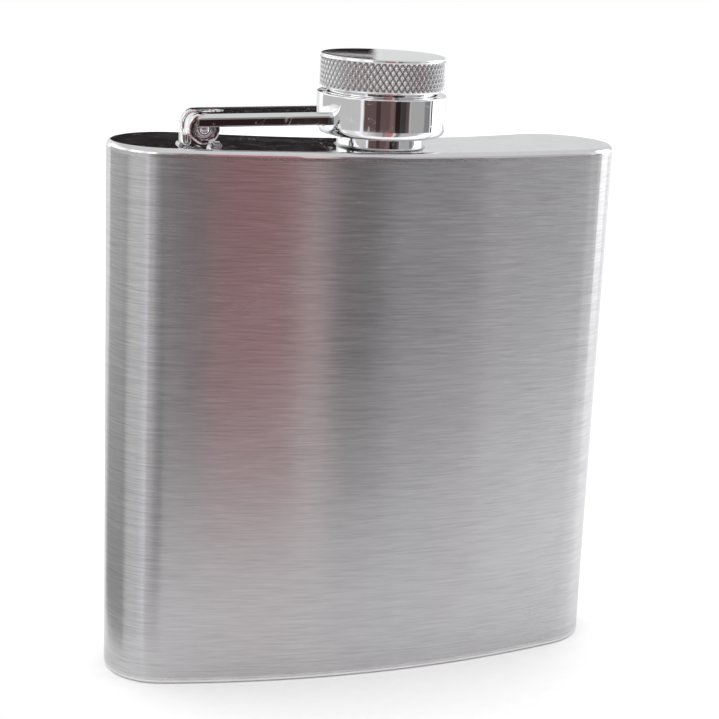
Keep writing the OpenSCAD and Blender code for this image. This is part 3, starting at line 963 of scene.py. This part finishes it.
# ---- Inside the cap -----------------------------------------------------------------------------
# The insert is moulded in dark plastic and has a steel sleeve round its skirt. A soft gasket seals it
# on the neck, and a steel ring at its lower end holds it in the collar, with a slip washer above.
def moulded_plastic():
    """Dark injection-moulded plastic with a faint sparked texture."""
    finish, tree, shader = new_finish("moulded_insert", Metallic=0.0)
    marks = place_group(tree, handling_marks, Scale=220.0, Amount=0.6)
    colour = mix_colour(
        tree, marks.outputs["Mask"], (0.016, 0.016, 0.018, 1), (0.035, 0.035, 0.037, 1)
    )
    tree.links.new(colour, shader.inputs["Base Color"])
    rough = maths(tree, "MULTIPLY_ADD", marks.outputs["Mask"], 0.15, 0.38)
    tree.links.new(rough, shader.inputs["Roughness"])
    spot = add(tree, "ShaderNodeTexCoord").outputs["Object"]
    spark = add(tree, "ShaderNodeTexNoise", {"Vector": spot, "Scale": 6000.0, "Detail": 3.0})
    bump(tree, shader, spark.outputs["Fac"], 0.3, 0.00003)
    return finish


def gasket_rubber():
    """Matt silicone rubber."""
    finish, tree, shader = new_finish("gasket_rubber", Metallic=0.0)
    marks = place_group(tree, handling_marks, Scale=300.0, Amount=0.7)
    colour = mix_colour(tree, marks.outputs["Mask"], (0.22, 0.21, 0.20, 1), (0.32, 0.31, 0.30, 1))
    tree.links.new(colour, shader.inputs["Base Color"])
    rough = maths(tree, "MULTIPLY_ADD", marks.outputs["Mask"], 0.2, 0.55)
    tree.links.new(rough, shader.inputs["Roughness"])
    spot = add(tree, "ShaderNodeTexCoord").outputs["Object"]
    pores = add(tree, "ShaderNodeTexNoise", {"Vector": spot, "Scale": 4000.0, "Detail": 2.0})
    bump(tree, shader, pores.outputs["Fac"], 0.4, 0.00003)
    return finish


dress("cap_insert", moulded_plastic())
dress("cap_gasket", gasket_rubber())
dress("cap_sleeve", fittings_finish)
dress("retaining_ring", fittings_finish)
dress("slip_washer", fittings_finish)


# ---- Floor, room and light ----------------------------------------------------------------------
# The flask stands on a plain pale sheet in a pale room. One broad soft light hangs over it.
def pale_floor():
    """Matt pale paper."""
    finish, tree, shader = new_finish("pale_floor", Roughness=0.9)
    shader.inputs["Specular IOR Level"].default_value = 0.0
    spot = add(tree, "ShaderNodeTexCoord").outputs["Object"]
    fibres = add(tree, "ShaderNodeTexNoise", {"Vector": spot, "Scale": 400.0, "Detail": 4.0})
    colour = mix_colour(tree, fibres.outputs["Fac"], (0.88, 0.88, 0.88, 1), (0.92, 0.92, 0.92, 1))
    tree.links.new(colour, shader.inputs["Base Color"])
    return finish


floor_left, floor_right, floor_back = -58 * mm, 450 * mm, 800 * mm
floor_plan = [
    (floor_left, -85 * mm, 0),
    (floor_right, -190 * mm, 0),
    (floor_right, floor_back, 0),
    (floor_left, floor_back, 0),
]
floor = new_piece("floor", floor_plan, [(0, 1, 2, 3)])
floor.data.materials.append(pale_floor())

room = bpy.data.worlds.new("room")
bpy.context.scene.world = room
room.use_nodes = True
air = room.node_tree
air.nodes.clear()
way = add(air, "ShaderNodeTexCoord").outputs["Generated"]
way_x, way_y, way_z = add(air, "ShaderNodeSeparateXYZ", {0: way}).outputs
bearing = maths(air, "MULTIPLY", maths(air, "ARCTAN2", way_x, way_y), 180 / math.pi)
height = maths(air, "MULTIPLY", maths(air, "ARCSINE", way_z), 180 / math.pi)


def wall_panel(light, centre, half_width, low, high, soft, colour):
    """The room's light with one panel of wall laid over it, half_width to each side of its centre and
    from low to high, with soft edges. Bearing is 0 behind the flask and grows towards its right, and
    height is 0 at the horizon; both are degrees."""
    away = maths(air, "SUBTRACT", bearing, centre)
    away = maths(air, "ABSOLUTE", maths(air, "WRAP", away, 180.0, -180.0))
    beside = add(air, "ShaderNodeMapRange", {
        "Value": away, "From Min": half_width + soft, "From Max": half_width - soft},
        interpolation_type="SMOOTHSTEP")
    above = add(air, "ShaderNodeMapRange", {
        "Value": height, "From Min": low - soft, "From Max": low + soft},
        interpolation_type="SMOOTHSTEP")
    below = add(air, "ShaderNodeMapRange", {
        "Value": height, "From Min": high + soft, "From Max": high - soft},
        interpolation_type="SMOOTHSTEP")
    share = maths(air, "MULTIPLY", beside.outputs[0], above.outputs[0])
    share = maths(air, "MULTIPLY", share, below.outputs[0])
    return mix_colour(air, share, light, tuple(colour) + (1.0,))


walls = [
    # The walls, and the upright strips that give the brushed shell its bands.
    (180, 180, -90, 30, 6, (0.9, 0.9, 0.9)),
    (-50, 30, -60, 30, 8, (1.35, 1.35, 1.34)),
    (-52, 32, -90, -15, 5, (0.26, 0.26, 0.26)),
    (-110, 24, -90, -14, 5, (0.82, 0.82, 0.79)),
    (-165, 22, -60, 30, 18, (0.42, 0.41, 0.42)),
    (147, 22, -60, 30, 6, (0.54, 0.53, 0.55)),
    (-112, 22, 4, 30, 3, (1.75, 1.75, 1.70)),
    (-138, 5, 4, 30, 3, (1.5, 1.46, 1.48)),
    (165.5, 4.5, -60, 30, 1.5, (0.25, 0.23, 0.24)),
    (-168.5, 2.5, -60, 30, 1.2, (0.26, 0.22, 0.23)),
    (-178, 7, -60, 30, 0.8, (0.50, 0.22, 0.235)),
    (172.4, 2.2, -60, 30, 1, (0.84, 0.62, 0.62)),
    (-122, 7, -60, 30, 4, (1.08, 1.08, 1.13)),
    (72, 32, -60, 30, 6, (1.35, 1.37, 1.42)),
    (82, 12, -60, 40, 3, (2.1, 2.13, 2.16)),
    # The low strips, which the upright sides of the cap, collar and arm mirror.
    (-80, 46, -12, 3, 1.5, (0.58, 0.58, 0.58)),
    (-172.5, 41, -12, 3, 1.5, (0.13, 0.085, 0.085)),
    (128, 16, -12, 3, 1.5, (0.42, 0.42, 0.42)),
    (108, 7, -12, 3, 1.5, (0.25, 0.25, 0.25)),
    (97, 2, -12, 3, 0.8, (0.05, 0.05, 0.05)),
    (158, 5, -12, 3, 1.2, (0.05, 0.05, 0.05)),
    (168, 4.5, -12, 3, 0.8, (0.025, 0.014, 0.013)),
    (-157, 4, -12, 3, 1.2, (0.065, 0.038, 0.036)),
    (178, 3.5, -12, 3, 0.8, (0.20, 0.125, 0.125)),
    # The high wall far behind, which the flat top plate, arm and cap mirror.
    (11, 7, 0, 20, 0.2, (0.022, 0.018, 0.019)),
    (11, 7, 5.6, 6.4, 0.1, (0.60, 0.60, 0.60)),
    (36, 17.9, 0, 34, 0.2, (0.74, 0.75, 0.75)),
]
light = (0.72, 0.72, 0.72, 1.0)
for panel in walls:
    light = wall_panel(light, *panel)
seen = mix_colour(
    air, add(air, "ShaderNodeLightPath").outputs["Is Camera Ray"], light, (1.0, 1.0, 1.0, 1.0)
)
glow = add(air, "ShaderNodeBackground", {"Color": seen, "Strength": 1.0})
sky = air.nodes.new("ShaderNodeOutputWorld")
air.links.new(glow.outputs[0], sky.inputs["Surface"])

lamp_data = bpy.data.lights.new("overhead_softbox", "AREA")
lamp_data.shape = "RECTANGLE"
lamp_data.size, lamp_data.size_y = 2.0, 2.0
lamp_data.energy = 15.0
lamp = bpy.data.objects.new("overhead_softbox", lamp_data)
lamp.location = (0, 0.25, 1.0)
lamp.visible_glossy = False
bpy.context.scene.collection.objects.link(lamp)

bpy.context.scene.view_settings.view_transform = "Standard"
